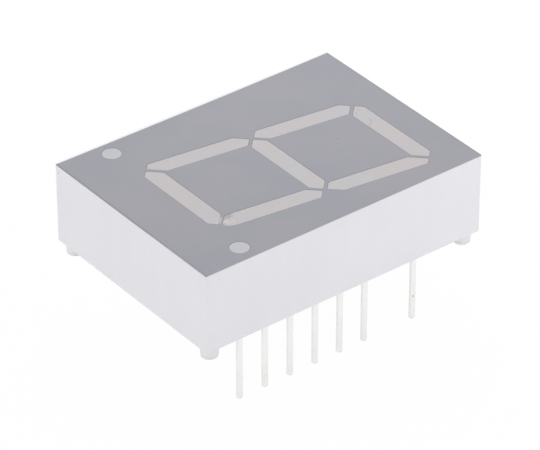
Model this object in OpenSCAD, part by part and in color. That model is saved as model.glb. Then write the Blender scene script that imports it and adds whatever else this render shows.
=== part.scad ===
// Single-digit seven segment display, 20.32 mm digit, common cathode, for through-hole boards.
// X runs across the digit to its right, Y up the digit, Z out of the face.
// Z is 0 at the pin tips, and X and Y are 0 at the centre of the housing.

/* [Housing] */
// Width across the digit
body_w = 19.96; // [19.8:0.01:26]
// Length up the digit
body_l = 27.69; // [27:0.01:36]
// Height from the back rim to the face
body_h = 7.3; // [6:0.05:12]
// Thickness of the side walls round the back pocket
wall = 0.9; // [0.7:0.05:1.1]
// Depth of the back pocket under the reflector block
pocket_depth = 2.2; // [1.6:0.05:3]
// Radius on the upright corners
corner_r = 0.15; // [0.1:0.05:0.8]

/* [Feet] */
// Height of the feet below the rim
foot_h = 1.1; // [0.5:0.05:2]
// Diameter of a foot at the rim
foot_d = 1.56; // [1:0.02:1.8]
// Narrowing of a foot's diameter down to its tip
foot_taper = 0.16; // [0:0.02:0.5]
// Chamfer round a foot's tip
foot_chamfer = 0.1; // [0.05:0.01:0.25]
// Distance from a foot's centre to both sides of the housing
foot_inset = 1.0; // [0.95:0.05:1.4]
// Wall left round a foot inside the pocket
boss_margin = 0.27; // [0.1:0.01:0.5]

/* [Face] */
// Thickness of the grey coat on the face
coat_t = 0.05; // [0.02:0.01:0.2]
// Height of the digit over its outer edges
digit_h = 20.32; // [18:0.01:21]
// Width of the digit along a bar, over its outer edges
digit_w = 11.1; // [10.4:0.01:11.3]
// Offset of the digit's centre to the right of the housing's
digit_x = 1.42; // [1.1:0.01:1.6]
// Offset of the digit's centre above the housing's
digit_y = 0.82; // [0.4:0.01:1.2]
// Lean of the digit to the right, in degrees
slant = 8; // [0:0.5:10]
// Width of a segment
stroke = 1.6; // [1.3:0.05:1.9]
// Width of the grey strips between segments
segment_gap = 0.35; // [0.2:0.05:0.6]
// How far the cut outer corners of the digit lie beyond the strokes' crossings
corner_reach = 0.15; // [0:0.05:0.4]
// Diameter of the decimal points
dot_d = 1.6; // [1.4:0.01:2]
// Distance from the digit's lowest bar down to the points' centres
dot_drop = 0.86; // [0.5:0.01:1.5]

/* [Light wells] */
// Narrowing of a well on each side, from the face down to the pocket
well_taper = 0.2; // [0.1:0.01:0.3]
// Length of a segment well's back opening
well_back_l = 3.6; // [2.4:0.1:6]
// Narrowing of a point's well on each side
dot_taper = 0.2; // [0.1:0.005:0.25]
// Space between a point's back opening and the pocket wall
dot_wall_gap = 0.08; // [0.02:0.01:0.15]

/* [Lead frame] */
// Pitch of the pins along a row
pin_pitch = 2.54; // [2.4:0.01:2.7]
// Distance between the two rows of pins
row_spacing = 15.24; // [15:0.01:15.4]
// Length of the pins below the rim
pin_drop = 7.85; // [4:0.05:12]
// Width of pins and traces
lead_w = 0.5; // [0.4:0.01:0.55]
// Thickness of the stamped metal
lead_t = 0.25; // [0.15:0.01:0.35]
// Inner radius of the bends
bend_r = 0.25; // [0.15:0.01:0.4]
// Chamfer on the corners of a pin's tip
tip_chamfer = 0.12; // [0.02:0.01:0.18]
// Straight run behind a bend, before a trace turns
neck = 0.4; // [0.3:0.01:0.6]
// Least space between neighbouring traces
trace_gap = 0.2; // [0.15:0.01:0.25]
// Distance from the points' centres down to the cathode rail
rail_drop = 1.8; // [1.4:0.05:2]

/* [Chips and wires] */
// Side of a light-emitting chip
chip_w = 0.3; // [0.2:0.01:0.36]
// Height of a chip
chip_h = 0.25; // [0.1:0.01:0.35]
// Distance of chip and wire foot from a segment's centre
chip_offset = 0.45; // [0.4:0.01:0.7]
// Distance of chip and wire foot from a point's centre
dot_chip_offset = 0.38; // [0.36:0.01:0.4]
// Diameter of the bond wires
wire_d = 0.05; // [0.03:0.005:0.08]
// Diameter of the flattened ends of a bond wire
bond_d = 0.12; // [0.1:0.01:0.18]
// Thickness of the flattened ends of a bond wire
bond_t = 0.04; // [0.02:0.01:0.08]

/* [Casting] */
// How far the resin stays below the rim
fill_recess = 0.2; // [0.05:0.05:0.6]

/* [Hidden] */
$fn = 48;
// Depth by which cuts pass through an open side
over = 0.5;
// Sine of the smallest turn that gets a round corner
STRAIGHT = 0.001;

rim_z = pin_drop;
face_z = rim_z + body_h;
coat_z = face_z - coat_t;
floor_z = rim_z + pocket_depth;
chip_top_z = floor_z + chip_h;

bar_pitch = (digit_h - stroke) / 2;
column_pitch = digit_w - stroke;
dot_back_r = dot_d / 2 - dot_taper;
dot_x = body_w / 2 - wall - dot_wall_gap - dot_back_r;
dot_y = digit_y - bar_pitch - dot_drop;
foot_x = body_w / 2 - foot_inset;
foot_y = body_l / 2 - foot_inset;

// Centre of the bends, and the place of the pins in the rows
bend_x = row_spacing / 2 - lead_t / 2 - bend_r;
bend_z = floor_z - lead_t - bend_r;
TOP_LEFT_PIN = 2;
TOP_RIGHT_PIN = 17;
TOP_PLACE = 3.5;

// Segments by name, each between two crossings of the strokes given as [side, level]
SEGMENTS = [
    ["a", [-1, 1], [1, 1]],
    ["b", [1, 0], [1, 1]],
    ["c", [1, -1], [1, 0]],
    ["d", [-1, -1], [1, -1]],
    ["e", [-1, -1], [-1, 0]],
    ["f", [-1, 0], [-1, 1]],
    ["g", [-1, 0], [1, 0]]
];

// Light sources by name, with the end of the segment towards which the chip lies
LIGHTS = [["a", 1], ["b", 1], ["c", -1], ["d", -1], ["e", -1], ["f", -1], ["g", -1], ["dp", -1]];
LIGHT_NAMES = [for (light = LIGHTS) light[0]];

// ---- Plane geometry ----

function unit(v) = v / norm(v);
function left_of(v) = [-v.y, v.x];
function cross_2d(a, b) = a.x * b.y - a.y * b.x;
// Where the line through p along d meets the line through q along e
function meet(p, d, q, e) = p + d * cross_2d(q - p, e) / cross_2d(d, e);
function row_of(name, table) = table[search([name], table)[0]];

// ---- Digit ----

// Crossing of the strokes at a side of the digit and a level, both from -1 to 1
function crossing(at) = [
    digit_x + at.x * column_pitch / 2 + at.y * bar_pitch * tan(slant),
    digit_y + at.y * bar_pitch
];

// One of the two 45 degree cuts that end a segment: [point on the cut, its direction].
// An outer corner of the digit is cut beyond the crossing, and a strip between segments before it.
function end_cut(p, at, normal, gap, reach) =
    [p + unit(normal) * (normal == at ? reach : -gap / 2), left_of(normal)];

// Six-sided outline of a segment of half-width half, with its ends drawn in by pull
function segment_outline(name, half, pull, gap, reach) =
    let (
        row = row_of(name, SEGMENTS),
        along = row[2] - row[1],
        step = along / norm(along),
        from = crossing(row[1]),
        to = crossing(row[2]),
        run = unit(to - from),
        p = from + run * pull,
        q = to - run * pull,
        side = left_of(run) * half,
        near_l = end_cut(p, row[1], left_of(step) - step, gap, reach),
        near_r = end_cut(p, row[1], -left_of(step) - step, gap, reach),
        far_l = end_cut(q, row[2], left_of(step) + step, gap, reach),
        far_r = end_cut(q, row[2], step - left_of(step), gap, reach)
    )
    [
        meet(near_l[0], near_l[1], near_r[0], near_r[1]),
        meet(p - side, run, near_r[0], near_r[1]),
        meet(p - side, run, far_r[0], far_r[1]),
        meet(far_l[0], far_l[1], far_r[0], far_r[1]),
        meet(p + side, run, far_l[0], far_l[1]),
        meet(p + side, run, near_l[0], near_l[1])
    ];

function segment_length(name) =
    let (row = row_of(name, SEGMENTS)) norm(crossing(row[2]) - crossing(row[1]));
function face_outline(name) = segment_outline(name, stroke / 2, 0, segment_gap, corner_reach);
function back_outline(name) =
    segment_outline(name, stroke / 2 - well_taper, (segment_length(name) - well_back_l) / 2, 0, 0);

// ---- Chips, wire feet and pins ----

function is_dot(name) = name == "dp";
function light_centre(name) = is_dot(name) ? [dot_x, dot_y] :
    let (row = row_of(name, SEGMENTS)) (crossing(row[1]) + crossing(row[2])) / 2;
function light_axis(name) = is_dot(name) ? [0, 1] :
    let (row = row_of(name, SEGMENTS)) unit(crossing(row[2]) - crossing(row[1]));
function light_offset(name) = is_dot(name) ? dot_chip_offset : chip_offset;
function chip_at(name) =
    light_centre(name) + light_axis(name) * light_offset(name) * row_of(name, LIGHTS)[1];
function wire_foot_at(name) = 2 * light_centre(name) - chip_at(name);

// Pins 2 to 9 go down the left row, and 10 to 17 up the right row
function pin_side(pin) = pin < 10 ? -1 : 1;
function pin_y(pin) =
    pin_pitch * (TOP_PLACE - (pin < 10 ? pin - TOP_LEFT_PIN : TOP_RIGHT_PIN - pin));
function pin_root(pin) = [pin_side(pin) * bend_x, pin_y(pin)];
function pin_neck(pin) = [pin_side(pin) * (bend_x - neck), pin_y(pin)];

// ---- Routes of the lead frame, as points from a pin's bend to the wire foot ----

// Level at which the point's lead passes over the bend of its own pin
loop_y = max(pin_y(10) + lead_w + trace_gap, wire_foot_at("dp").y);

ANODES = [
    ["a", 2, [
        pin_neck(2),
        [pin_neck(2).x + wire_foot_at("a").y - pin_y(2), wire_foot_at("a").y]
    ]],
    ["b", 15, [[wire_foot_at("b").x, pin_y(15)]]],
    ["c", 13, [[wire_foot_at("c").x, pin_y(13)]]],
    ["d", 11, [
        [wire_foot_at("g").x, pin_y(11)],
        [wire_foot_at("g").x, wire_foot_at("d").y]
    ]],
    ["e", 5, [[wire_foot_at("e").x, pin_y(5)]]],
    ["f", 3, [[wire_foot_at("f").x, pin_y(3)]]],
    ["g", 14, [[wire_foot_at("g").x, pin_y(14)]]],
    ["dp", 10, [
        pin_neck(10),
        [pin_neck(10).x, loop_y],
        [wire_foot_at("dp").x, loop_y]
    ]]
];

// Places of the cathode's long runs: the upright bus, the top and bottom rails and the left side run
bus_x = (chip_at("g").x + wire_foot_at("f").x) / 2;
top_rail_y = (chip_at("a").y + chip_at("b").y) / 2;
bottom_rail_y = dot_y - rail_drop;
side_run_x = pin_neck(6).x + lead_w + trace_gap;

CATHODE_PINS = [4, 6, 12, 17];
// Runs between a bend and another bend or a trace, with both ends square
CATHODE_LINKS = [
    [pin_root(4), [bus_x, pin_y(4)]],
    [
        pin_root(6),
        [side_run_x, pin_y(6)],
        [side_run_x, chip_at("e").y],
        [pin_neck(12).x, chip_at("c").y],
        pin_neck(12),
        pin_root(12)
    ]
];
// Runs that end in a round pad under a chip
CATHODE_BRANCHES = [
    [pin_root(17), [chip_at("b").x, pin_y(17)], chip_at("b")],
    [
        [chip_at("b").x, top_rail_y],
        [bus_x, top_rail_y],
        [bus_x, bottom_rail_y],
        [dot_x, bottom_rail_y],
        chip_at("dp")
    ],
    [[chip_at("a").x, top_rail_y], chip_at("a")],
    [[chip_at("f").x, pin_y(4)], chip_at("f")],
    [[bus_x, chip_at("g").y], chip_at("g")],
    [[bus_x, chip_at("d").y], chip_at("d")]
];
SPARE_PIN = 7;

// ---- Shared shapes ----

module rounded_rectangle(w, l, r) {
    square([w - 2 * r, l], center = true);
    square([w, l - 2 * r], center = true);
    for (x = [-1, 1], y = [-1, 1]) translate([x * (w / 2 - r), y * (l / 2 - r)]) circle(r);
}

module at_feet() {
    for (x = [-1, 1], y = [-1, 1]) translate([x * foot_x, y * foot_y]) children();
}

module pocket_outline() {
    difference() {
        square([body_w - 2 * wall, body_l - 2 * wall], center = true);
        at_feet() circle(d = foot_d + 2 * boss_margin);
    }
}

// Solid between two outlines with the same number of points
module frustum(low_points, low_z, high_points, high_z) {
    n = len(low_points);
    polyhedron(
        points = concat(
            [for (p = low_points) [p.x, p.y, low_z]],
            [for (p = high_points) [p.x, p.y, high_z]]
        ),
        faces = concat(
            [[for (i = [0:n - 1]) i]],
            [[for (i = [n - 1:-1:0]) n + i]],
            [for (i = [0:n - 1]) [n + i, n + (i + 1) % n, (i + 1) % n, i]]
        )
    );
}

// The tapered wells of the seven segments and the two points, up to the top of the reflector block
module light_wells(low_z) {
    for (row = SEGMENTS) frustum(back_outline(row[0]), low_z, face_outline(row[0]), coat_z);
    for (side = [-1, 1]) translate([side * dot_x, dot_y, low_z])
        cylinder(r1 = dot_back_r, r2 = dot_d / 2, h = coat_z - low_z);
}

module face_windows() {
    for (row = SEGMENTS) polygon(face_outline(row[0]));
    for (side = [-1, 1]) translate([side * dot_x, dot_y]) circle(d = dot_d);
}

function turns_at(points, i) =
    abs(cross_2d(unit(points[i] - points[i - 1]), unit(points[i + 1] - points[i]))) > STRAIGHT;

module straight_run(p, q) {
    along = q - p;
    translate(p) rotate(atan2(along.y, along.x)) translate([0, -lead_w / 2]) square([norm(along), lead_w]);
}

// Straight runs with round corners, square at the first point
module trace(points, round_end = true) {
    last = len(points) - 1;
    for (i = [1:last]) straight_run(points[i - 1], points[i]);
    for (i = [1:1:last - 1]) if (turns_at(points, i)) translate(points[i]) circle(d = lead_w);
    if (round_end) translate(points[last]) circle(d = lead_w);
}

module flat_metal() {
    translate([0, 0, floor_z - lead_t]) linear_extrude(lead_t) children();
}

// Bend and straight leg of a pin
module pin_leg(pin) {
    outer_r = bend_r + lead_t;
    mirror([pin_side(pin) < 0 ? 1 : 0, 0, 0]) translate([bend_x, pin_y(pin), 0]) {
        translate([0, 0, bend_z]) rotate([90, 0, 0]) rotate_extrude(angle = 90)
            translate([bend_r, -lead_w / 2]) square([lead_t, lead_w]);
        translate([bend_r, 0, 0]) rotate([90, 0, 90]) linear_extrude(lead_t) polygon([
            [tip_chamfer - lead_w / 2, 0],
            [lead_w / 2 - tip_chamfer, 0],
            [lead_w / 2, tip_chamfer],
            [lead_w / 2, bend_z],
            [-lead_w / 2, bend_z],
            [-lead_w / 2, tip_chamfer]
        ]);
    }
}

// ---- Pieces ----

module housing() {
    tip_d = foot_d - foot_taper;
    color([0.89, 0.88, 0.91]) {
        difference() {
            translate([0, 0, rim_z]) linear_extrude(coat_z - rim_z)
                rounded_rectangle(body_w, body_l, corner_r);
            translate([0, 0, rim_z - over]) linear_extrude(floor_z - rim_z + over) pocket_outline();
            light_wells(floor_z);
        }
        at_feet() {
            translate([0, 0, rim_z - foot_h + foot_chamfer])
                cylinder(d1 = tip_d, d2 = foot_d, h = foot_h - foot_chamfer);
            translate([0, 0, rim_z - foot_h])
                cylinder(d1 = tip_d - 2 * foot_chamfer, d2 = tip_d, h = foot_chamfer);
        }
    }
}

module face_coat() {
    color([0.65, 0.65, 0.68]) translate([0, 0, coat_z]) linear_extrude(coat_t) difference() {
        rounded_rectangle(body_w, body_l, corner_r);
        face_windows();
    }
}

module epoxy_fill() {
    color([0.77, 0.76, 0.77]) difference() {
        union() {
            translate([0, 0, coat_z]) linear_extrude(coat_t) face_windows();
            light_wells(floor_z);
            translate([0, 0, rim_z + fill_recess]) linear_extrude(floor_z - rim_z - fill_recess)
                pocket_outline();
        }
        cathode_frame();
        spare_lead();
        for (name = LIGHT_NAMES) {
            anode_lead(name);
            led_chip(name);
            bond_wire(name);
        }
    }
}

module cathode_frame() {
    color([0.86, 0.86, 0.83]) {
        flat_metal() {
            for (points = CATHODE_LINKS) trace(points, round_end = false);
            for (points = CATHODE_BRANCHES) trace(points);
        }
        for (pin = CATHODE_PINS) pin_leg(pin);
    }
}

module anode_lead(name) {
    row = row_of(name, ANODES);
    color([0.86, 0.86, 0.83]) {
        flat_metal() trace(concat([pin_root(row[1])], row[2], [wire_foot_at(name)]));
        pin_leg(row[1]);
    }
}

module spare_lead() {
    color([0.86, 0.86, 0.83]) {
        flat_metal() trace([pin_root(SPARE_PIN), pin_neck(SPARE_PIN)]);
        pin_leg(SPARE_PIN);
    }
}

module led_chip(name) {
    color([0.45, 0.3, 0.2]) translate([chip_at(name).x - chip_w / 2, chip_at(name).y - chip_w / 2, floor_z])
        cube([chip_w, chip_w, chip_h]);
}

// Ball on the chip, half-round loop, upright down to the lead and flattened foot
module bond_wire(name) {
    centre = light_centre(name);
    reach = light_offset(name);
    loop_z = chip_top_z + bond_t;
    to_foot = wire_foot_at(name) - chip_at(name);
    color([0.9, 0.75, 0.35]) translate([centre.x, centre.y, 0]) rotate(atan2(to_foot.y, to_foot.x)) {
        translate([-reach, 0, chip_top_z]) cylinder(d = bond_d, h = bond_t);
        translate([0, 0, loop_z]) rotate([90, 0, 0])
            rotate_extrude(angle = 180) translate([reach, 0]) circle(d = wire_d);
        translate([reach, 0, floor_z + bond_t]) cylinder(d = wire_d, h = loop_z - floor_z - bond_t);
        translate([reach, 0, floor_z]) cylinder(d = bond_d, h = bond_t);
    }
}

housing();
face_coat();
epoxy_fill();
cathode_frame();
spare_lead();
for (name = LIGHT_NAMES) {
    anode_lead(name);
    led_chip(name);
    bond_wire(name);
}
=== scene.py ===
"""Looks of a single-digit seven segment display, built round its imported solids.

X runs across the digit to its right, Y up the digit and Z out of the face. A piece is
shaped in millimetres, and is turned into metres when it is finished.
"""

from __future__ import annotations

import logging
import math
from contextlib import contextmanager
from dataclasses import dataclass, field
from enum import Enum
from typing import Callable, ContextManager, Iterable, Iterator, Sequence, Union

import bmesh
import bpy
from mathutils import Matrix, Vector

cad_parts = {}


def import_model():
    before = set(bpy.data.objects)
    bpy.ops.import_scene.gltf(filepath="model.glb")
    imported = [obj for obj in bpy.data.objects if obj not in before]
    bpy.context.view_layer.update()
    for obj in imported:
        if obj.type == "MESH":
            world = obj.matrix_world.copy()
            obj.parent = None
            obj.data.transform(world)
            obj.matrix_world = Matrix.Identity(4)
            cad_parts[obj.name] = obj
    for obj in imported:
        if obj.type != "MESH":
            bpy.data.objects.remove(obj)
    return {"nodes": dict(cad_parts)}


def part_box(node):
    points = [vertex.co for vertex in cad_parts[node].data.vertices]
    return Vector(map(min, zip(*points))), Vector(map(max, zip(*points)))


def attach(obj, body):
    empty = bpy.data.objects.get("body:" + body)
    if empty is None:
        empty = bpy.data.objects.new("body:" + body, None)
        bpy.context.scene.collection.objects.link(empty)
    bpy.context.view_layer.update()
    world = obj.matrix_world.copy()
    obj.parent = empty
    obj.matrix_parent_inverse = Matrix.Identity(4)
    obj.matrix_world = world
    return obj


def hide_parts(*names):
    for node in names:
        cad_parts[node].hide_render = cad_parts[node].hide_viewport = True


LOG = logging.getLogger("display")

MM = 0.001
BODY = "root"
# Attribute on the coat, which is 0 on its face and 1 at the rims
RIM = "rim"
# Distances in millimetres within which two places are the same, points are merged, and a
# slice meets a point
NEAR, MERGE, MEET = 1e-4, 1e-5, 1e-6
# Length by which a cutter passes through a surface
OVER = 0.3
# Share of Z in a direction that isn't level, and in one that is upright
STEEP, UPRIGHT = 0.3, 0.9
# Angles over an edge that counts as sharp, and over one that is shaded smooth
SHARP, SMOOTH = math.radians(45), math.radians(38)
WHITE = (255, 255, 255)
# Sockets of a Mix node for colours: its factor, its two colours and its result
FACTOR, UNDER, PAINT, MIXED = 0, 6, 7, 2

Rgb = tuple[float, float, float]
# Two vectors, such as a middle and a size, or a point and a direction
Pair = tuple[Vector, Vector]
Material = bpy.types.Material
Point = Sequence[float]
Value = Union[float, "Signal"]
Settings = dict[str, object]
Inputs = dict[int | str, object]
EdgeTest = Callable[[Vector, Vector, float], bool]
FaceTest = Callable[[Vector, Vector], bool]


class Slot(Enum):
    """Material slots, whose names the finishes' materials take."""

    PLASTIC = "white_plastic"
    INK = "grey_ink"
    RESIN = "milky_resin"
    TIN = "tinned_metal"
    CHIP = "led_chip"
    GOLD = "gold_wire"


class Segment(Enum):
    """The seven segments, each between two crossings given as (side, level)."""

    A = ((-1, 1), (1, 1))
    B = ((1, 0), (1, 1))
    C = ((1, -1), (1, 0))
    D = ((-1, -1), (1, -1))
    E = ((-1, -1), (-1, 0))
    F = ((-1, 0), (-1, 1))
    G = ((-1, 0), (1, 0))


class Side(Enum):
    """The two decimal points, by their side of the digit."""

    LEFT = -1
    RIGHT = 1


class Part(Enum):
    """What a hand tool works on."""

    EDGES = "EDGE"
    FACES = "FACE"


class Work(Enum):
    """How one piece is worked into another."""

    CUT = "DIFFERENCE"
    ADD = "UNION"


def srgb(colour: Rgb) -> tuple[float, float, float, float]:
    """Turns a colour in 0 to 255 steps into linear light.

    Args:
        colour: Red, green and blue as a screen shows them.

    Returns:
        The linear colour, with full opacity.
    """
    shares = (step / 255 for step in colour)
    linear = (s / 12.92 if s <= 0.04045 else ((s + 0.055) / 1.055) ** 2.4 for s in shares)
    return (*linear, 1.0)


# ---- Finishes ----


@dataclass(frozen=True)
class Cloud:
    """Cloudy pattern, with what it does to a finish."""

    # Waves for each millimetre, the number of finer layers, and a factor along each axis
    waves: float
    layers: float = 2.0
    stretch: Point = (1, 1, 1)
    # Factor on the pattern, which goes from -0.5 to 0.5
    strength: float = 1.0
    # Effects on the colour's tone, the roughness, and the relief in millimetres
    tone: float = 0.0
    rough: float = 0.0
    height: float = 0.0


@dataclass(frozen=True)
class Band:
    """Part of a finish that fades in between two distances, along a wavering edge."""

    clear: float
    full: float
    waver: Cloud
    strength: float = 1.0


@dataclass(frozen=True)
class Specks:
    """Round specks scattered through a finish."""

    # Cells for each millimetre, radius in cells, and share of the cells that hold a speck
    cells: float
    radius: float
    chosen: float
    strength: float
    core: float = 0.4
    margin: float = 0.01


@dataclass(frozen=True)
class Spot:
    """Soft round mark at a place in two or three axes, full over the core of its radius."""

    at: Point
    radius: float
    strength: float = 1.0
    core: float = 0.5


def _math(operation: str, flipped: bool = False) -> Callable[..., Signal]:
    """Makes a method that adds one Math node.

    Args:
        operation: The node's operation.
        flipped: Whether the other value comes first.

    Returns:
        The method.
    """

    def work(self: Signal, *others: Value) -> Signal:
        """Works on this number and the others."""
        values = (*others, self) if flipped else (self, *others)
        return self.recipe.put("Math", {"operation": operation}, dict(enumerate(values)))

    return work


class Signal:
    """A number that flows through a finish and takes part in sums."""

    __add__, __radd__ = _math("ADD"), _math("ADD", flipped=True)
    __sub__, __rsub__ = _math("SUBTRACT"), _math("SUBTRACT", flipped=True)
    __mul__, __rmul__ = _math("MULTIPLY"), _math("MULTIPLY", flipped=True)
    __truediv__, __rtruediv__ = _math("DIVIDE"), _math("DIVIDE", flipped=True)
    __abs__ = _math("ABSOLUTE")
    at_least, at_most, root = _math("MAXIMUM"), _math("MINIMUM"), _math("SQRT")

    def __init__(self, recipe: Recipe, socket: bpy.types.NodeSocket) -> None:
        """Keeps the socket and the recipe that it belongs to."""
        self.recipe, self.socket = recipe, socket

    def rise(self, low: float, high: float) -> Signal:
        """Goes smoothly from 0 to 1 between two values.

        Args:
            low: Where the result is 0.
            high: Where the result is 1. It may be below low.

        Returns:
            The share from 0 to 1.
        """
        if low > high:
            return 1 - self.rise(high, low)
        settings = {"interpolation_type": "SMOOTHSTEP"}
        inputs = {"Value": self, "From Min": low, "From Max": high}
        return self.recipe.put("MapRange", settings, inputs)


class Recipe:
    """The nodes of one finish, with places read in millimetres."""

    def __init__(
        self, owner: str | bpy.types.World, ground: Rgb = WHITE, ending: str = "OutputMaterial"
    ) -> None:
        """Clears a new material or a world, and finds the place on the piece.

        Args:
            owner: The new material's name, or the world.
            ground: The colour to start from.
            ending: Type of the output node, after ShaderNode.
        """
        self.owner = bpy.data.materials.new(owner) if isinstance(owner, str) else owner
        self.owner.use_nodes = True
        self.tree = self.owner.node_tree
        self.tree.nodes.clear()
        self.ending = self.tree.nodes.new("ShaderNode" + ending)
        metres = self.put("TexCoord", {}, {}, "Object")
        inputs = {0: metres, "Scale": 1 / MM}
        self.place = self.put("VectorMath", {"operation": "SCALE"}, inputs)
        parts = self.put("SeparateXYZ", {}, {0: self.place}).socket.node.outputs
        self.x, self.y, self.z = (Signal(self, part) for part in parts)
        self.base: object = srgb(ground)
        self.tone: Value = 1.0
        self.rough: Value = 0.0
        self.height: Value = 0.0

    def put(self, kind: str, settings: Settings, inputs: Inputs, output: int | str = 0) -> Signal:
        """Adds a node.

        Args:
            kind: The node's type, after ShaderNode.
            settings: Its settings, which are set first.
            inputs: A value or a link for each socket named.
            output: The output to carry on from.

        Returns:
            That output.
        """
        node = self.tree.nodes.new("ShaderNode" + kind)
        for key, value in settings.items():
            setattr(node, key, value)
        for key, value in inputs.items():
            if isinstance(value, Signal):
                self.tree.links.new(value.socket, node.inputs[key])
            else:
                node.inputs[key].default_value = value
        return Signal(self, node.outputs[output])

    def noise(self, cloud: Cloud) -> Signal:
        """Adds a cloudy pattern.

        Args:
            cloud: The pattern.

        Returns:
            Its value.
        """
        place = self.put("VectorMath", {"operation": "MULTIPLY"}, {0: self.place, 1: cloud.stretch})
        inputs = {"Vector": place, "Scale": cloud.waves, "Detail": cloud.layers}
        return (self.put("TexNoise", {}, inputs) - 0.5) * cloud.strength

    def band(self, distance: Value, band: Band) -> Signal:
        """Masks a band by the distance from its edge."""
        return (distance + self.noise(band.waver)).rise(band.clear, band.full) * band.strength

    def share(self, cloud: Cloud) -> Signal:
        """Turns a cloudy pattern into a share from 0 to 1."""
        return (self.noise(cloud) + 0.5).at_least(0).at_most(1)

    def specks(self, specks: Specks) -> Signal:
        """Masks scattered specks.

        Args:
            specks: The specks.

        Returns:
            Their strength in a speck, and 0 outside.
        """
        inputs = {"Vector": self.place, "Scale": specks.cells}
        near = self.put("TexVoronoi", {}, inputs, "Distance")
        lot = Signal(self, near.socket.node.outputs["Color"])
        lot = self.put("SeparateColor", {}, {0: lot})
        chosen = lot.rise(specks.chosen + specks.margin, specks.chosen)
        return near.rise(specks.radius, specks.radius * specks.core) * chosen * specks.strength

    def away_from(self, centre: Point) -> Signal:
        """Measures the distance in millimetres from a place, over the axes that it names."""
        gaps = [axis - at for axis, at in zip((self.x, self.y, self.z), centre)]
        return sum(gap * gap for gap in gaps).root()

    def spot(self, spot: Spot) -> Signal:
        """Masks a soft round mark."""
        return self.away_from(spot.at).rise(spot.radius, spot.radius * spot.core) * spot.strength

    def line_between(self, start: Point, end: Point, width: float) -> Signal:
        """Masks a soft straight mark on the face.

        Args:
            start: One end in X and Y.
            end: The other end.
            width: Its width in millimetres.

        Returns:
            1 on the line and 0 outside.
        """
        run, mid = Vector(end) - Vector(start), (Vector(start) + Vector(end)) / 2
        along, across = run.normalized(), Vector((-run.y, run.x)).normalized()
        dx, dy = self.x - mid.x, self.y - mid.y
        off = abs(dx * across.x + dy * across.y).rise(width / 2, width / 5)
        reach = abs(dx * along.x + dy * along.y).rise(run.length / 2, run.length / 2 - width)
        return off * reach

    def paint(self, colour: Rgb, share: Value) -> None:
        """Paints a share of a colour over what is there."""
        inputs = {FACTOR: share, UNDER: self.base, PAINT: srgb(colour)}
        self.base = self.put("Mix", {"data_type": "RGBA"}, inputs, MIXED)

    def lay(self, *clouds: Cloud) -> None:
        """Lays the effects of cloudy patterns over the colour so far, the roughness and relief.

        Args:
            clouds: The patterns.
        """
        for cloud in clouds:
            value = self.noise(cloud)
            for effect in ("tone", "rough", "height"):
                if getattr(cloud, effect):
                    setattr(self, effect, value * getattr(cloud, effect) + getattr(self, effect))
        base = self.base if isinstance(self.base, Signal) else self.base[:3]
        inputs = {0: base, "Scale": self.tone}
        self.base = self.put("VectorMath", {"operation": "SCALE"}, inputs)

    def surface(self, rough: Value, metal: Value = 0.0) -> Material:
        """Ends the recipe with its surface.

        Args:
            rough: Roughness, to which the patterns add theirs.
            metal: Share of bare metal.

        Returns:
            The finished material.
        """
        relief = {"Height": self.height, "Distance": MM}
        inputs = {
            "Base Color": self.base,
            "Roughness": rough + self.rough,
            "Metallic": metal,
            "Normal": self.put("Bump", {}, relief, "Normal"),
        }
        self.put_last(self.put("BsdfPrincipled", {}, inputs))
        return self.owner

    def seen(self) -> Signal:
        """Finds the rays that see the background, straight or in a shiny or clear surface.

        Returns:
            1 on those rays and 0 on others.
        """
        rays = self.put("LightPath", {}, {}, "Is Camera Ray")
        others = rays.socket.node.outputs
        shiny = rays.at_least(Signal(self, others["Is Glossy Ray"]))
        return shiny.at_least(Signal(self, others["Is Transmission Ray"]))

    def put_last(self, shader: Signal) -> None:
        """Joins a shader to the output."""
        self.tree.links.new(shader.socket, self.ending.inputs["Surface"])


@dataclass(frozen=True)
class WhitePlastic:
    """Moulded white plastic, with painted shade at the foot tips and along the edge just below the
    face.
    """

    top_z: float
    foot_z: float
    colour: Rgb = (227, 226, 230)
    # Painted shade along the edge just below the face
    shaded: Rgb = (205, 203, 208)
    # Painted shade for the downward-facing foot tips
    painted_foot_shade: Rgb = (206, 208, 206)
    speck: Rgb = (176, 172, 176)
    rough: float = 0.46
    # Clouds, upright flow marks, grain, pits and swell
    texture: tuple[Cloud, ...] = (
        Cloud(0.22, 3, tone=0.05, rough=0.1),
        Cloud(0.9, 3, (1, 1, 0.07), tone=0.04),
        Cloud(9, tone=0.03, rough=0.12),
        Cloud(11, 3, height=0.004),
        Cloud(2.2, height=0.006),
    )
    # Painted shade in a thin band just below the face
    painted_top_edge_shade: Band = Band(0.06, 0.03, Cloud(2.5, 3, strength=0.08), 0.4)
    # Painted shade fading up from the foot tips
    painted_foot_shade_band: Band = Band(0.45, 0.225, Cloud(3, strength=0.15), 0.3)
    dirt: Specks = Specks(0.8, 0.05, 0.12, 0.5)
    mark: Spot = Spot((-9.52, -13.84, 14.5), 0.09)

    def make(self) -> Material:
        """Builds the material.

        Returns:
            The material.
        """
        r = Recipe(Slot.PLASTIC.value, self.colour)
        r.lay(*self.texture)
        # Painted shade along the top edge, just below the face
        r.paint(self.shaded, r.band(self.top_z - r.z, self.painted_top_edge_shade))
        r.paint(self.speck, r.specks(self.dirt).at_least(r.spot(self.mark)))
        # Painted shade at the foot tips
        r.paint(self.painted_foot_shade, r.band(r.z - self.foot_z, self.painted_foot_shade_band))
        return r.surface(self.rough)


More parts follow.
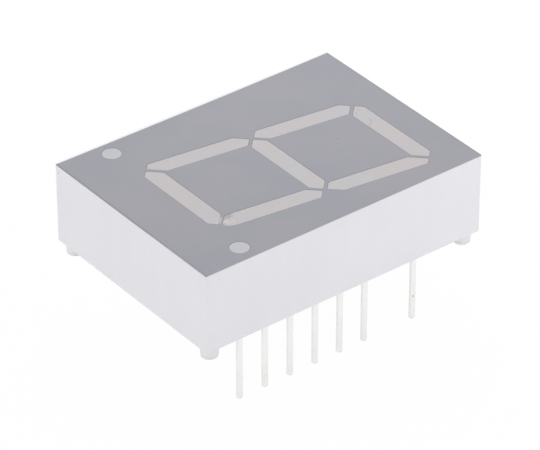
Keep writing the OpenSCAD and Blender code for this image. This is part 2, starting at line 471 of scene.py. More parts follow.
@dataclass(frozen=True)
class GreyInk:
    """Grey coat printed on the face, with pigment grain, painted shade along its edges, paler
    strips at its sides and worn places.
    """

    half_w: float
    half_l: float
    colour: Rgb = (158, 157, 164)
    cool: Rgb = (153, 154, 163)
    # Painted shade for the edges of the face and its windows
    edge: Rgb = (120, 119, 126)
    # Paler colour along the left and right edges
    bare: Rgb = (240, 240, 242)
    flaked: Rgb = (184, 182, 185)
    pale: Rgb = (182, 182, 186)
    dark: Rgb = (126, 124, 130)
    rough: float = 0.62
    drift: Cloud = Cloud(0.16, 3, strength=3)
    # Grain, finer grain, tooth and swell
    texture: tuple[Cloud, ...] = (
        Cloud(5.5, 3, tone=0.07, rough=0.2),
        Cloud(17, 1, tone=0.05),
        Cloud(8, 3, height=0.003),
        Cloud(1.1, height=0.004),
    )
    # Painted shade round the edges of the face and its windows, and along the foot edge
    rim: Band = Band(0.25, 1.1, Cloud(7, strength=0.5), 0.75)
    painted_foot_edge_shade: Band = Band(0.26, 0.087, Cloud(3, strength=0.03), 0.28)
    # The paler strip along the left edge, which is wider at its middle
    pale_left_w: float = 0.125
    pale_left_bow: float = 0.085
    pale_left: Band = Band(0.01, -0.01, Cloud(2, strength=-0.02))
    # The paler band along the right edge, and ever less along the foot
    pale_right_w: float = 0.02
    pale_right_slope: float = 0.002
    pale_right_share: float = 0.4
    flakes: tuple[tuple[Point, Point], ...] = (
        ((4.1, -7.88), (4.94, -8.72)),
        ((5.15, -8.54), (5.72, -7.97)),
    )
    flake_w: float = 0.27
    holes: Specks = Specks(1.4, 0.07, 0.08, 0.55)
    dust: Specks = Specks(1.1, 0.06, 0.07, 0.5)
    dark_spot: Spot = Spot((1.0, 6.28), 0.09, 0.8)
    pale_spot: Spot = Spot((9.16, -12.5), 0.09, 0.8)

    def make(self) -> Material:
        """Builds the material.

        Returns:
            The material.
        """
        r = Recipe(Slot.INK.value, self.colour)
        r.paint(self.cool, r.share(self.drift))
        r.lay(*self.texture)
        left, right, up = r.x + self.half_w, self.half_w - r.x, r.y + self.half_l
        rim = r.put("Attribute", {"attribute_name": RIM}, {}, "Fac")
        # Painted shade round the edges and along the foot edge
        r.paint(self.edge, r.band(rim, self.rim).at_least(r.band(up, self.painted_foot_edge_shade)))
        level = r.y / self.half_l
        # Paler strip along the left edge, and paler band along the right edge
        pale_left = r.band(left - self.pale_left_w - (1 - level * level) * self.pale_left_bow, self.pale_left)
        pale_right = right.at_most(up + right * self.pale_right_slope)
        pale_right = pale_right.rise(self.pale_right_w, self.pale_right_w / 2) * self.pale_right_share
        r.paint(self.bare, pale_left.at_least(pale_right))
        for start, end in self.flakes:
            r.paint(self.flaked, r.line_between(start, end, self.flake_w))
        r.paint(self.dark, r.specks(self.holes).at_least(r.spot(self.dark_spot)))
        r.paint(self.pale, r.specks(self.dust).at_least(r.spot(self.pale_spot)))
        return r.surface(self.rough)


@dataclass(frozen=True)
class MilkyResin:
    """Cast resin: cloudy, slightly warm, glossier than the coat, and scuffed in places."""

    face_z: float
    points: tuple[Point, ...]
    point_r: float
    colour: Rgb = (183, 181, 184)
    warm: Rgb = (188, 180, 181)
    cool: Rgb = (184, 184, 189)
    pale: Rgb = (222, 222, 221)
    dark: Rgb = (152, 148, 149)
    ink: Rgb = (156, 155, 161)
    rough: float = 0.42
    drift: Cloud = Cloud(0.3, 3, strength=3)
    # Swirls, grain, swell and tooth
    texture: tuple[Cloud, ...] = (
        Cloud(1.3, 3, tone=0.07),
        Cloud(7, tone=0.05, rough=0.15),
        Cloud(1.6, height=0.008),
        Cloud(9, height=0.0015),
    )
    # Radius of the cool tint round a decimal point, in the point's radii
    halo: float = 1.4
    bubbles: Specks = Specks(1.7, 0.09, 0.12, 0.35)
    # Depths below the face between which its own marks end, and the back's pores start
    marks_h: tuple[float, float] = (2.0, 1.0)
    mark_depth: float = 0.01
    pores: Specks = Specks(1.1, 0.08, 0.16, 0.6)
    # The scuffed tip, with chalky and gritty streaks, and ink smeared up to the strip beside it,
    # where X and Y add up to strip_at
    scuff: Spot = Spot((5.05, -7.95), 0.7)
    chalk: Band = Band(0.02, 0.1, Cloud(4.5, 3, (1.6, 0.7, 1)))
    chalk_share: float = 0.8
    chalk_rough: float = 0.25
    grit: Band = Band(0.1, 0.16, Cloud(6.5, 3, (1.5, 0.8, 1)), 0.6)
    smear: Spot = Spot((4.17, -7.56), 0.8, core=0.35)
    strip_at: float = -3.66
    strip_fade: float = 0.05
    glints: tuple[Spot, ...] = (Spot((4.63, -8.74), 0.07, 0.7), Spot((4.6, -6.13), 0.07, 0.7))
    nicks: tuple[Point, ...] = ((-1.6, 10.06), (-1.12, 9.87), (-1.3, 10.3))
    scratch: tuple[Point, ...] = ((0.1, 10.22), (0.52, 10.1), (0.85, 9.8), (0.98, 9.5))
    scratch_w: float = 0.07
    scratch_share: float = 0.85

    def make(self) -> Material:
        """Builds the material.

        Returns:
            The material.
        """
        r = Recipe(Slot.RESIN.value, self.colour)
        front = r.z.rise(*(self.face_z - depth for depth in self.marks_h))
        r.paint(self.warm, r.share(self.drift))
        for point in self.points:
            tint = r.away_from(point).rise(self.point_r * self.halo, self.point_r)
            r.paint(self.cool, tint * front)
        r.lay(*self.texture)
        scuffed = r.spot(self.scuff) * front
        chalk = r.band(0, self.chalk) * scuffed
        r.paint(self.pale, r.specks(self.bubbles).at_least(chalk * self.chalk_share))
        for glint in self.glints:
            r.paint(self.pale, r.spot(glint) * front)
        side = (r.x + r.y - self.strip_at).rise(-self.strip_fade, self.strip_fade)
        r.paint(self.ink, r.spot(self.smear) * side * front)
        marks = r.band(0, self.grit) * scuffed
        for nick in self.nicks:
            marks = marks.at_least(r.spot(Spot(nick, self.scratch_w)))
        for start, end in zip(self.scratch, self.scratch[1:]):
            line = r.line_between(start, end, self.scratch_w)
            marks = marks.at_least(line * self.scratch_share)
        marks = marks * front + r.specks(self.pores) * (1 - front)
        r.paint(self.dark, marks)
        r.height = r.height - marks * self.mark_depth
        return r.surface(self.rough + chalk * self.chalk_rough)


@dataclass(frozen=True)
class TinnedMetal:
    """Tin plated lead frame, with drawn streaks down the legs and bare sheared ends."""

    leg_top: float
    colour: Rgb = (244, 244, 243)
    dull: Rgb = (232, 233, 230)
    bare: Rgb = (205, 200, 188)
    stain: Rgb = (190, 172, 162)
    rough: float = 0.38
    metal: float = 0.6
    streak: Cloud = Cloud(5, 3, (1, 1, 0.08), tone=0.07, rough=0.15, height=0.004)
    patch: Cloud = Cloud(0.8, 3, rough=0.2)
    grain: Cloud = Cloud(14, tone=0.04, height=0.0015)
    # Shares of the depth, the patches and the streaks in how dull the tin is
    dulled_by: tuple[float, float, float] = (0.5, 0.8, 0.6)
    sheared: Band = Band(0.1, 0.01, Cloud(14, strength=0.06))
    sheared_share: float = 0.75
    sheared_rough: float = 0.2
    spot: Spot = Spot((7.745, 8.88, 2.26), 0.13, 0.8)

    def make(self) -> Material:
        """Builds the material.

        Returns:
            The material.
        """
        r = Recipe(Slot.TIN.value, self.colour)
        causes = ((self.leg_top - r.z) / self.leg_top, r.noise(self.patch), r.noise(self.streak))
        dulled = sum(cause * share for cause, share in zip(causes, self.dulled_by))
        r.paint(self.dull, dulled.rise(0, 1))
        r.lay(self.streak, self.patch, self.grain)
        sheared = r.band(r.z, self.sheared)
        r.paint(self.bare, sheared * self.sheared_share)
        r.paint(self.stain, r.spot(self.spot))
        change = sheared * self.sheared_rough
        return r.surface(self.rough + change, self.metal - change)


@dataclass(frozen=True)
class Chip:
    """Sawn crystal of a light-emitting chip, with a metal contact on top."""

    top_z: float
    colour: Rgb = (112, 62, 44)
    contact: Rgb = (205, 170, 96)
    rough: float = 0.35
    saw: Cloud = Cloud(20, 2, (1, 1, 0.2), tone=0.5, rough=0.3, height=0.003)
    grain: Cloud = Cloud(6, tone=0.3)
    plated: Band = Band(0.03, 0.01, Cloud(30, strength=-0.01), 0.8)
    plated_metal: float = 1.125

    def make(self) -> Material:
        """Builds the material.

        Returns:
            The material.
        """
        r = Recipe(Slot.CHIP.value, self.colour)
        r.lay(self.saw, self.grain)
        plated = r.band(self.top_z - r.z, self.plated)
        r.paint(self.contact, plated)
        return r.surface(self.rough, plated * self.plated_metal)


@dataclass(frozen=True)
class GoldWire:
    """Drawn gold wire, duller where it is pressed flat."""

    floor_z: float
    colour: Rgb = (236, 196, 112)
    dull: Rgb = (205, 164, 92)
    rough: float = 0.25
    drawn: Cloud = Cloud(25, 2, (1, 1, 0.3), tone=0.2, rough=0.2, height=0.001)
    pressed: Band = Band(0.07, 0.03, Cloud(25, 2, (1, 1, 0.3), strength=0.02))
    pressed_rough: float = 0.2

    def make(self) -> Material:
        """Builds the material.

        Returns:
            The material.
        """
        r = Recipe(Slot.GOLD.value, self.colour)
        pressed = r.band(r.z - self.floor_z, self.pressed)
        r.paint(self.dull, pressed)
        r.lay(self.drawn)
        return r.surface(self.rough + pressed * self.pressed_rough, 1.0)


# ---- Hand tools ----


@dataclass(frozen=True)
class Rounding:
    """Rounded edge, with its radius and the number of its steps."""

    radius: float
    steps: int


def rises(mid: Vector, run: Vector, angle: float) -> bool:
    """Tells whether an edge isn't level."""
    return abs(run.z) > STEEP


def looks_up(mid: Vector, normal: Vector) -> bool:
    """Tells whether a face looks up."""
    return normal.z > UPRIGHT


def looks_down(mid: Vector, normal: Vector) -> bool:
    """Tells whether a face looks down."""
    return normal.z < -UPRIGHT


def push(offset: Point, factors: Point) -> None:
    """Extrudes the selected faces of the open piece, and scales their new outline."""
    bpy.ops.mesh.extrude_region_move(TRANSFORM_OT_translate={"value": offset})
    bpy.ops.transform.resize(value=factors)


def inset(width: float, depth: float = 0.0) -> None:
    """Draws in the selected faces of the open piece, and moves them along their normal."""
    bpy.ops.mesh.inset(thickness=width, depth=depth, use_even_offset=True)


def dress(thing: bpy.types.Object, material: Material, slot: Slot) -> None:
    """Gives a piece its finish, and reports it.

    Args:
        thing: The piece.
        material: Its material.
        slot: Its material slot, which is logged.
    """
    thing.data.materials.clear()
    thing.data.materials.append(material)
    LOG.info("%s: %d faces in %s", thing.name, len(thing.data.polygons), slot.value)


class Workpiece:
    """A mesh under the hand tools, in millimetres until it is finished."""

    def __init__(self, thing: bpy.types.Object) -> None:
        """Takes up an object, with its place worked into its mesh.

        Args:
            thing: The object.
        """
        self.thing = thing
        self.hold()
        bpy.ops.object.transform_apply(location=True, rotation=True, scale=True)

    @classmethod
    def block(cls, low: Point, high: Point) -> Workpiece:
        """Starts from a cube between two corners.

        Args:
            low: Its lowest corner.
            high: Its highest corner.

        Returns:
            The piece.
        """
        bpy.ops.object.select_all(action="DESELECT")
        low, high = Vector(low), Vector(high)
        bpy.ops.mesh.primitive_cube_add(size=1, location=(low + high) / 2, scale=high - low)
        return cls(bpy.context.object)

    @classmethod
    def turned(
        cls, centre: Point, radii: Point, heights: Point, sides: int, turn: float = 0.0
    ) -> Workpiece:
        """Starts from an upright cone or cylinder.

        Args:
            centre: X and Y of its axis.
            radii: Radius at the bottom and at the top.
            heights: Z of the bottom and of the top.
            sides: Number of sides.
            turn: Turn about the axis, in sides.

        Returns:
            The piece.
        """
        bpy.ops.object.select_all(action="DESELECT")
        bpy.ops.mesh.primitive_cone_add(
            vertices=sides,
            rotation=(0, 0, turn * math.tau / sides),
            radius1=radii[0],
            radius2=radii[1],
            depth=heights[1] - heights[0],
            location=(centre[0], centre[1], sum(heights) / 2),
        )
        return cls(bpy.context.object)

    @classmethod
    def gather(cls, parts: Iterable[Workpiece]) -> Workpiece:
        """Joins separate pieces into one object.

        Args:
            parts: The pieces, which are used up.

        Returns:
            The piece.
        """
        first, *others = parts
        first.hold()
        for part in others:
            part.thing.select_set(True)
        bpy.ops.object.join()
        return cls(first.thing)

    def hold(self) -> None:
        """Selects this piece alone."""
        bpy.ops.object.select_all(action="DESELECT")
        self.thing.select_set(True)
        bpy.context.view_layer.objects.active = self.thing

    def copy(self, place: Point = (0, 0, 0)) -> Workpiece:
        """Makes a copy with its own mesh.

        Args:
            place: How far the copy is moved.

        Returns:
            The copy.
        """
        self.hold()
        bpy.ops.object.duplicate(linked=False)
        bpy.context.object.location = place
        return Workpiece(bpy.context.object)

    def spread(self, places: Iterable[Point]) -> Workpiece:
        """Copies the piece to several places, and uses it up.

        Args:
            places: How far each copy is moved.

        Returns:
            The copies as one piece.
        """
        copies = [self.copy(place) for place in places]
        self.discard()
        return Workpiece.gather(copies)

    def discard(self) -> None:
        """Takes the piece out of the scene."""
        bpy.data.objects.remove(self.thing)

    @contextmanager
    def _open(self, part: Part, test: Callable[[object], bool]) -> Iterator[None]:
        """Opens the piece in edit mode, with what passes a test selected.

        Args:
            part: Whether faces or edges are tested.
            test: Takes a face or an edge.

        Yields:
            Nothing, while the piece is open.
        """
        self.hold()
        bpy.ops.object.mode_set(mode="EDIT")
        bpy.ops.mesh.select_mode(type=part.value)
        bpy.ops.mesh.select_all(action="DESELECT")
        mesh = bmesh.from_edit_mesh(self.thing.data)
        mesh.normal_update()
        for item in mesh.faces if part is Part.FACES else mesh.edges:
            if test(item):
                item.select_set(True)
        bmesh.update_edit_mesh(self.thing.data)
        yield
        bpy.ops.object.mode_set(mode="OBJECT")

    def faces(self, test: FaceTest) -> ContextManager[None]:
        """Opens the piece with the faces selected whose centre and normal pass a test."""
        return self._open(Part.FACES, lambda face: test(face.calc_center_median(), face.normal))

    def bevel(self, test: EdgeTest, rounding: Rounding) -> None:
        """Rounds the edges that pass a test.

        Args:
            test: Takes an edge's middle, its direction and the angle over it.
            rounding: The new rounding.
        """

        def fits(edge: bmesh.types.BMEdge) -> bool:
            """Tries the test on one edge."""
            one, two = (vertex.co for vertex in edge.verts)
            return test((one + two) / 2, (two - one).normalized(), edge.calc_face_angle(0))

        with self._open(Part.EDGES, fits):
            bpy.ops.mesh.bevel(
                offset=rounding.radius, segments=rounding.steps, affect="EDGES", clamp_overlap=True
            )

    def slice_off(self, point: Point, normal: Point) -> None:
        """Cuts away what lies beyond a plane, and closes the cut.

        Args:
            point: A point on the plane.
            normal: The direction of the side that goes.
        """
        with self._open(Part.FACES, lambda face: True):
            bpy.ops.mesh.bisect(
                plane_co=point, plane_no=normal, use_fill=True, clear_outer=True, threshold=MEET
            )

    def boolean(self, tool: Workpiece, work: Work) -> None:
        """Works another piece into this one, and uses it up.

        Args:
            tool: The other piece.
            work: Whether it cuts or adds.
        """
        self.hold()
        modifier = self.thing.modifiers.new("shape", "BOOLEAN")
        modifier.object, modifier.operation, modifier.solver = tool.thing, work.value, "EXACT"
        bpy.ops.object.modifier_apply(modifier=modifier.name)
        tool.discard()

    def mark(self, name: str) -> None:
        """Gives each point a value: 0 on the faces left selected by the last tool, and 1 elsewhere.

        Args:
            name: The attribute's name.
        """
        mesh = self.thing.data
        values = [1.0] * len(mesh.vertices)
        for face in mesh.polygons:
            if face.select:
                for index in face.vertices:
                    values[index] = 0.0
        mesh.attributes.new(name, "FLOAT", "POINT").data.foreach_set("value", values)

    def finish(self, name: str, material: Material, slot: Slot, *nodes: str) -> None:
        """Cleans the mesh, turns it into metres, names and dresses it and puts it in its place.

        Args:
            name: The piece's name.
            material: Its material.
            slot: Its material slot, which is logged.
            nodes: The solids that it stands for.
        """
        with self._open(Part.FACES, lambda face: True):
            bpy.ops.mesh.remove_doubles(threshold=MERGE)
            bpy.ops.mesh.dissolve_degenerate(threshold=MERGE)
            bpy.ops.mesh.normals_make_consistent(inside=False)
        self.thing.scale = (MM, MM, MM)
        bpy.ops.object.transform_apply(location=True, rotation=True, scale=True)
        bpy.ops.object.shade_smooth_by_angle(angle=SMOOTH)
        weighted = self.thing.modifiers.new("even_shading", "WEIGHTED_NORMAL")
        weighted.keep_sharp = True
        bpy.ops.object.modifier_apply(modifier=weighted.name)
        self.thing.name = name
        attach(self.thing, BODY)
        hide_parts(*nodes)
        dress(self.thing, material, slot)


# ---- Sub-assemblies ----


@dataclass
class Body:
    """Outer sizes of the display, read from its solids."""

    half_w: float = field(init=False)
    half_l: float = field(init=False)
    rim_z: float = field(init=False)
    coat_z: float = field(init=False)
    face_z: float = field(init=False)
    floor_z: float = field(init=False)
    foot_z: float = field(init=False)
    corner: Rounding = Rounding(0.15, 6)
    wall: float = 0.9
    foot_h: float = 1.1

    def __post_init__(self) -> None:
        """Reads the boxes of the solids."""
        coat_low, coat_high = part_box("face_coat")
        self.half_w, self.half_l = coat_high.x / MM, coat_high.y / MM
        self.coat_z, self.face_z = coat_low.z / MM, coat_high.z / MM
        self.foot_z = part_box("housing")[0].z / MM
        self.rim_z = self.foot_z + self.foot_h
        self.floor_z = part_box("anode_lead_a")[1].z / MM

    def slab(self, low_z: float, high_z: float) -> Workpiece:
        """Makes a plate of the body's outline with round upright corners.

        Args:
            low_z: Its underside.
            high_z: Its top.

        Returns:
            The plate.
        """
        x, y = self.half_w, self.half_l
        plate = Workpiece.block((-x, -y, low_z), (x, y, high_z))
        plate.bevel(rises, self.corner)
        return plate


@dataclass
class Digit:
    """The seven segments and the two points, with the wells behind them."""

    body: Body
    height: float = 20.32
    width: float = 11.1
    centre: tuple[float, float] = (1.42, 0.82)
    slant: float = 8.0
    stroke: float = 1.6
    gap: float = 0.35
    # How far the outer corners lie beyond the crossings
    reach: float = 0.15
    taper: float = 0.2
    back_length: float = 3.6
    corner: Rounding = Rounding(0.09, 3)
    point_d: float = 1.6
    point_drop: float = 0.86
    point_taper: float = 0.2
    point_wall_gap: float = 0.08
    point_sides: int = 72

    def crossing(self, at: tuple[int, int]) -> Vector:
        """Finds where two strokes cross.

        Args:
            at: Side and level of the crossing, from -1 to 1.

        Returns:
            Its place on the face.
        """
        pitch = (self.height - self.stroke) / 2
        lean = at[1] * pitch * math.tan(math.radians(self.slant))
        across = at[0] * (self.width - self.stroke) / 2
        return Vector((self.centre[0] + across + lean, self.centre[1] + at[1] * pitch))

    def outline(self, segment: Segment, front: bool) -> list[Vector]:
        """Draws the six-sided outline of a segment.

        Args:
            segment: The segment.
            front: Whether it is the window in the face, and not the smaller back of the well.

        Returns:
            The six corners, anticlockwise.
        """
        z = self.body.coat_z if front else self.body.floor_z
        starts, ends = segment.value
        step = (Vector(ends) - Vector(starts)).normalized()
        turn = Vector((-step.y, step.x))
        run = self.crossing(ends) - self.crossing(starts)
        pull = 0 if front else (run.length - self.back_length) / 2
        taper, gap, reach = (0, self.gap, self.reach) if front else (self.taper, 0, 0)
        run.normalize()
        side = Vector((-run.y, run.x)) * (self.stroke / 2 - taper)
        p = self.crossing(starts) + run * pull
        q = self.crossing(ends) - run * pull

        def cut(at: Vector, crossing: tuple[int, int], normal: Vector) -> Pair:
            """Finds one of the slanting cuts that end a segment."""
            out = reach if (normal - Vector(crossing)).length < NEAR else -gap / 2
            return at + normal.normalized() * out, Vector((-normal.y, normal.x))

        def meet(one: Pair, two: Pair) -> Vector:
            """Finds where two lines meet."""
            share = (two[0] - one[0]).cross(two[1]) / one[1].cross(two[1])
            return Vector((*(one[0] + one[1] * share), z))

        left, right = (p + side, run), (p - side, run)
        near_l, near_r = cut(p, starts, turn - step), cut(p, starts, -turn - step)
        far_l, far_r = cut(q, ends, turn + step), cut(q, ends, step - turn)
        lines = (near_l, near_r, right, far_r, far_l, left, near_l)
        return [meet(*pair) for pair in zip(lines, lines[1:])]

    def segment_well(self, segment: Segment) -> Workpiece:
        """Cuts the core of a segment's well from a block, one slanting side at a time.

        Args:
            segment: The segment.

        Returns:
            The core, longer than the well at both ends.
        """
        body = self.body
        face, back = self.outline(segment, front=True), self.outline(segment, front=False)
        xs, ys = [p.x for p in face], [p.y for p in face]
        core = Workpiece.block(
            (min(xs) - OVER, min(ys) - OVER, body.floor_z - OVER),
            (max(xs) + OVER, max(ys) + OVER, body.face_z + OVER),
        )
        for start, end, deep in zip(face, face[1:] + face[:1], back):
            core.slice_off(start, (deep - start).cross(end - start).normalized())
        core.bevel(rises, self.corner)
        return core

    @property
    def point_back_r(self) -> float:
        """Radius of a decimal point's well at its back."""
        return self.point_d / 2 - self.point_taper

    def point_place(self, side: Side) -> Vector:
        """Finds the middle of a decimal point on the face."""
        x = self.body.half_w - self.body.wall - self.point_wall_gap - self.point_back_r
        return Vector((side.value * x, self.crossing((0, -1)).y - self.point_drop))

    def point_well(self, side: Side) -> Workpiece:
        """Makes the core of a decimal point's well.

        Args:
            side: The point's side.

        Returns:
            The core, longer than the well at both ends.
        """
        body = self.body
        slope = self.point_taper / (body.coat_z - body.floor_z)
        heights = (body.floor_z - OVER, body.face_z + OVER)
        radii = [self.point_back_r + slope * (z - body.floor_z) for z in heights]
        return Workpiece.turned(self.point_place(side), radii, heights, self.point_sides)

    def wells(self) -> Workpiece:
        """Makes the cores of all nine wells as one object."""
        cores = [self.segment_well(segment) for segment in Segment]
        return Workpiece.gather(cores + [self.point_well(side) for side in Side])


@dataclass
class Housing:
    """White shell with its back pocket, wells and feet."""

    body: Body
    foot_d: float = 1.56
    foot_taper: float = 0.16
    foot_tip: Rounding = Rounding(0.1, 4)
    foot_inset: float = 1.0
    foot_sides: int = 64
    # Rise and spread of each step of a foot's flared root
    foot_flare: tuple[tuple[float, float], ...] = ((0.05, 0.02), (0.03, 0.06))
    boss_margin: float = 0.27
    boss_sides: int = 24
    rim: Rounding = Rounding(0.02, 3)
    top: Rounding = Rounding(0.02, 2)
    mouth: Rounding = Rounding(0.04, 2)

    def foot_places(self) -> list[Vector]:
        """Finds the four feet, at Z 0."""
        x, y = self.body.half_w - self.foot_inset, self.body.half_l - self.foot_inset
        return [Vector((i * x, j * y, 0)) for i in (-1, 1) for j in (-1, 1)]

    def pocket(self) -> Workpiece:
        """Makes the core of the back pocket, with the bosses round the feet left out.

        Returns:
            The core, from below the rim up to the lead frame.
        """
        b = self.body
        x, y = b.half_w - b.wall, b.half_l - b.wall
        core = Workpiece.block((-x, -y, b.rim_z - OVER), (x, y, b.floor_z))
        radii = (self.foot_d / 2 + self.boss_margin,) * 2
        heights = (b.rim_z - 2 * OVER, b.floor_z + OVER)
        boss = Workpiece.turned((0, 0), radii, heights, self.boss_sides, 0.5)
        core.boolean(boss.spread(self.foot_places()), Work.CUT)
        return core

    def feet(self) -> Workpiece:
        """Shapes one foot with a rounded tip and a flared root, and copies it to each corner.

        Returns:
            The feet, which reach into the bosses.
        """
        b = self.body
        radius = self.foot_d / 2
        radii = (radius - self.foot_taper / 2, radius)
        heights = (b.foot_z, b.rim_z - sum(rise for rise, _ in self.foot_flare))
        foot = Workpiece.turned((0, 0), radii, heights, self.foot_sides)
        foot.bevel(lambda mid, run, angle: mid.z < b.foot_z + NEAR, self.foot_tip)
        with foot.faces(looks_up):
            for rise, spread in (*self.foot_flare, (OVER, 0.0)):
                factor = (radius + spread) / radius
                push((0, 0, rise), (factor, factor, 1))
                radius += spread
        return foot.spread(self.foot_places())

    def build(self, wells: Workpiece) -> None:
        """Builds and dresses the shell.

        Args:
            wells: The cores of the wells.
        """
        b = self.body
        shell = b.slab(b.rim_z, b.coat_z)
        shell.bevel(lambda mid, run, angle: mid.z < b.rim_z + NEAR, self.rim)
        shell.bevel(lambda mid, run, angle: mid.z > b.coat_z - NEAR, self.top)
        shell.boolean(self.pocket(), Work.CUT)
        shell.bevel(lambda mid, run, angle: mid.z < b.rim_z + NEAR and angle > SHARP, self.mouth)
        shell.boolean(wells.copy(), Work.CUT)
        shell.boolean(self.feet(), Work.ADD)
        plastic = WhitePlastic(b.coat_z, b.foot_z).make()
        shell.finish("housing_shell", plastic, Slot.PLASTIC, "housing")


@dataclass
class FaceCoat:
    """Grey coat over the face, with a window at each segment and point."""

    body: Body
    edge: Rounding = Rounding(0.012, 2)
    rim_w: float = 0.1

    def build(self, wells: Workpiece) -> None:
        """Builds and dresses the coat.

        Args:
            wells: The cores of the wells.
        """
        b = self.body
        top_z = b.face_z - NEAR
        coat = b.slab(b.coat_z, b.face_z)
        coat.boolean(wells.copy(), Work.CUT)
        coat.bevel(lambda mid, run, angle: mid.z > top_z and angle > SHARP, self.edge)
        with coat.faces(lambda mid, normal: mid.z > top_z and looks_up(mid, normal)):
            inset(self.rim_w)
        coat.mark(RIM)
        coat.finish("face_coat_ink", GreyInk(b.half_w, b.half_l).make(), Slot.INK, "face_coat")


@dataclass
class ResinCasting:
    """Resin in the wells and the pocket, drawn up at the walls and round the pins."""

    digit: Digit
    recess: float = 0.2
    below_face: float = 0.015
    # Width and rise of each step of the curved edge along the walls
    meniscus: tuple[tuple[float, float], ...] = (
        (0.03, 0.04),
        (0.05, 0.035),
        (0.06, 0.02),
        (0.06, 0.01),
    )
    collar_margin: float = 0.34
    collar_corner: Rounding = Rounding(0.25, 4)
    collar_root: float = 0.02
    # Height and outline factors of each step of the collar round a pin
    collar: tuple[tuple[float, float, float], ...] = (
        (0.04, 0.84, 0.87),
        (0.03, 0.78, 0.84),
        (0.035, 0.72, 0.8),
        (0.04, 0.76, 0.86),
    )

    def collars(self, legs: Sequence[Pair]) -> Workpiece:
        """Shapes the collar of resin round one leg, and copies it to the others.

        Args:
            legs: Middle and size of each leg.

        Returns:
            The collars.
        """
        size = legs[0][1]
        x, y = size.x / 2 + self.collar_margin, size.y / 2 + self.collar_margin
        root_z = self.digit.body.rim_z + self.recess + self.collar_root
        collar = Workpiece.block((-x, -y, root_z), (x, y, root_z + OVER))
        collar.bevel(rises, self.collar_corner)
        with collar.faces(looks_down):
            for rise, across, along in self.collar:
                push((0, 0, -rise), (across, along, 1))
        return collar.spread([(mid.x, mid.y, 0) for mid, _ in legs])

    def build(self, pocket: Workpiece, wells: Workpiece, legs: Sequence[Pair]) -> None:
        """Builds and dresses the casting.

        Args:
            pocket: The core of the back pocket, which is used up.
            wells: The cores of the wells, which are used up.
            legs: Middle and size of each leg.
        """
        b = self.digit.body
        low_z = b.rim_z + self.recess - sum(rise for _, rise in self.meniscus)
        pocket.slice_off((0, 0, low_z), (0, 0, -1))
        with pocket.faces(looks_down):
            for width, rise in self.meniscus:
                inset(width, -rise)
        wells.slice_off((0, 0, b.face_z - self.below_face), (0, 0, 1))
        pocket.boolean(wells, Work.ADD)
        pocket.boolean(self.collars(legs), Work.ADD)
        points = tuple(self.digit.point_place(side) for side in Side)
        resin = MilkyResin(b.face_z, points, self.digit.point_d / 2)
        pocket.finish("resin_casting", resin.make(), Slot.RESIN, "epoxy_fill")


@dataclass
class LeadFrame:
    """Stamped and bent leads, whose solids stay and get softened edges."""

    body: Body
    nodes: dict[str, bpy.types.Object]
    weld: float = 1e-6
    edge: Rounding = Rounding(0.018, 2)
    edge_angle: float = 50.0
    # Distance within which two points belong to the same leg
    leg_reach: float = 1.0

    def leads(self) -> list[bpy.types.Object]:
        """Lists the leads."""
        starts = ("cathode_frame", "spare_lead", "anode_lead_")
        return [thing for name, thing in self.nodes.items() if name.startswith(starts)]

    def legs(self) -> list[Pair]:
        """Finds the legs where they leave the resin.

        Returns:
            Middle and size of each leg.
        """
        legs: list[list[Vector]] = []
        places = [vertex.co / MM for lead in self.leads() for vertex in lead.data.vertices]
        for place in places:
            if place.z <= self.body.rim_z:
                for leg in legs:
                    if (leg[0] - place).xy.length < self.leg_reach:
                        leg.append(place)
                        break
                else:
                    legs.append([place])
        boxes = [(Vector(map(min, *leg)), Vector(map(max, *leg))) for leg in legs]
        return [((low + high) / 2, high - low) for low, high in boxes]

    def dress(self) -> None:
        """Gives the leads their metal and takes the sharpness off their edges."""
        metal = TinnedMetal(self.body.rim_z).make()
        for thing in self.leads():
            weld = thing.modifiers.new("weld", "WELD")
            weld.merge_threshold = self.weld
            bevel = thing.modifiers.new("soft_edges", "BEVEL")
            bevel.width, bevel.segments = self.edge.radius * MM, self.edge.steps
            bevel.limit_method, bevel.angle_limit = "ANGLE", math.radians(self.edge_angle)
            dress(thing, metal, Slot.TIN)


@dataclass
class LightSources:
    """Chips and bond wires inside the resin, whose solids stay."""

    body: Body
    nodes: dict[str, bpy.types.Object]

    def dress(self) -> None:
        """Gives the chips and wires their finishes."""
        top_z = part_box("led_chip_a")[1].z / MM
        kinds = {
            "led_chip_": (Chip(top_z).make(), Slot.CHIP),
            "bond_wire_": (GoldWire(self.body.floor_z).make(), Slot.GOLD),
        }
        for name, thing in self.nodes.items():
            for start, finish in kinds.items():
                if name.startswith(start):
                    dress(thing, *finish)


# ---- Studio ----


@dataclass
class Lamp:
    """Soft square lamp that looks at the display."""

    name: str
    azimuth: float
    elevation: float
    power: float
    distance: float
    size: float


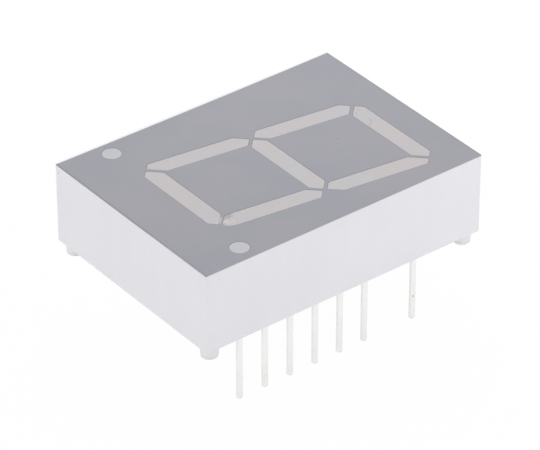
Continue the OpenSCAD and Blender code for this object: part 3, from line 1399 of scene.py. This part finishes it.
@dataclass
class Studio:
    """Pale floor, soft light and the camera, in millimetres and degrees."""

    face: Vector
    azimuth: float = 52.107
    elevation: float = 34.168
    distance: float = 301.66
    aim: tuple[float, float] = (0.090, -5.236)
    lens: float = 251.82
    sensor: float = 36.0
    near_clip: float = 10.0
    floor_size: float = 900.0
    floor_drop: float = 0.02
    floor_colour: Rgb = (244, 244, 245)
    floor_cloud: Cloud = Cloud(0.02, tone=0.01)
    floor_glow: float = 0.98
    world_light: float = 0.6
    lamps: tuple[Lamp, ...] = (
        Lamp("back_left_lamp", -125, 45, 0.042, 110, 80),
        Lamp("back_right_lamp", 130, 10, 0.029, 110, 80),
        Lamp("front_lamp", 37, 12, 0.48, 400, 240),
        Lamp("front_left_lamp", -38, 12, 0.05, 200, 120),
    )

    def towards(self, azimuth: float, elevation: float) -> Vector:
        """Finds a direction, with azimuth 0 at the foot of the digit and 90 at its right."""
        turn, lift = math.radians(azimuth), math.radians(elevation)
        return Vector((math.sin(turn), -math.cos(turn), math.tan(lift))).normalized()

    def place(self, name: str, data: bpy.types.ID, at: Vector, back: Vector) -> bpy.types.Object:
        """Puts a lamp or the camera in the scene.

        Args:
            name: Its name.
            data: Its data.
            at: Its place in millimetres.
            back: The direction behind it.

        Returns:
            The lamp or camera.
        """
        thing = bpy.data.objects.new(name, data)
        bpy.context.scene.collection.objects.link(thing)
        thing.location = at * MM
        thing.rotation_euler = (-back).to_track_quat("-Z", "Y").to_euler()
        return thing

    def camera(self) -> None:
        """Makes the camera."""
        back = self.towards(self.azimuth, self.elevation)
        right = self.towards(self.azimuth + 90, 0)
        data = bpy.data.cameras.new("camera")
        data.lens, data.sensor_width, data.clip_start = self.lens, self.sensor, self.near_clip * MM
        aim = right * self.aim[0] + back.cross(right) * self.aim[1]
        at = self.face + aim + back * self.distance
        bpy.context.scene.camera = self.place("camera", data, at, back)

    def lights(self) -> None:
        """Makes the lamps."""
        for lamp in self.lamps:
            data = bpy.data.lights.new(lamp.name, "AREA")
            data.energy, data.size = lamp.power, lamp.size * MM
            back = self.towards(lamp.azimuth, lamp.elevation)
            self.place(lamp.name, data, self.face + back * lamp.distance, back)

    def world(self) -> None:
        """Makes the world: white where it is seen or mirrored, and a plain light elsewhere."""
        world = bpy.data.worlds.new("studio")
        r = Recipe(world, ending="OutputWorld")
        level = r.seen() * (1 - self.world_light) + self.world_light
        r.put_last(r.put("Background", {}, {"Color": r.base, "Strength": level}))
        bpy.context.scene.world = world

    def floor(self) -> None:
        """Makes the floor, which looks white and keeps a faint shadow."""
        bpy.ops.object.select_all(action="DESELECT")
        place = (0, 0, -self.floor_drop * MM)
        bpy.ops.mesh.primitive_plane_add(size=self.floor_size * MM, location=place)
        plane = bpy.context.object
        plane.name = "floor"
        r = Recipe("floor", self.floor_colour)
        r.lay(self.floor_cloud)
        paper = r.put("BsdfDiffuse", {}, {"Color": r.base})
        glow = r.put("Emission", {}, {"Strength": 1.0})
        share = r.seen() * self.floor_glow
        r.put_last(r.put("MixShader", {}, {0: share, 1: paper, 2: glow}))
        plane.data.materials.append(r.owner)

    def build(self) -> None:
        """Sets up the whole studio."""
        self.camera()
        self.lights()
        self.world()
        self.floor()
        bpy.context.scene.view_settings.view_transform = "Standard"


def main() -> None:
    """Builds the display's pieces in order, and the studio round them."""
    logging.basicConfig(level=logging.INFO, format="%(name)s: %(message)s")
    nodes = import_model()["nodes"]
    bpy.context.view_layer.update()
    body = Body()
    Studio(face=Vector((0, 0, body.face_z))).build()

    digit = Digit(body)
    wells = digit.wells()
    housing = Housing(body)
    housing.build(wells)
    FaceCoat(body).build(wells)
    frame = LeadFrame(body, nodes)
    legs = frame.legs()
    LOG.info("%d legs", len(legs))
    ResinCasting(digit).build(housing.pocket(), wells, legs)
    frame.dress()
    LightSources(body, nodes).dress()


if __name__ == "__main__":
    main()
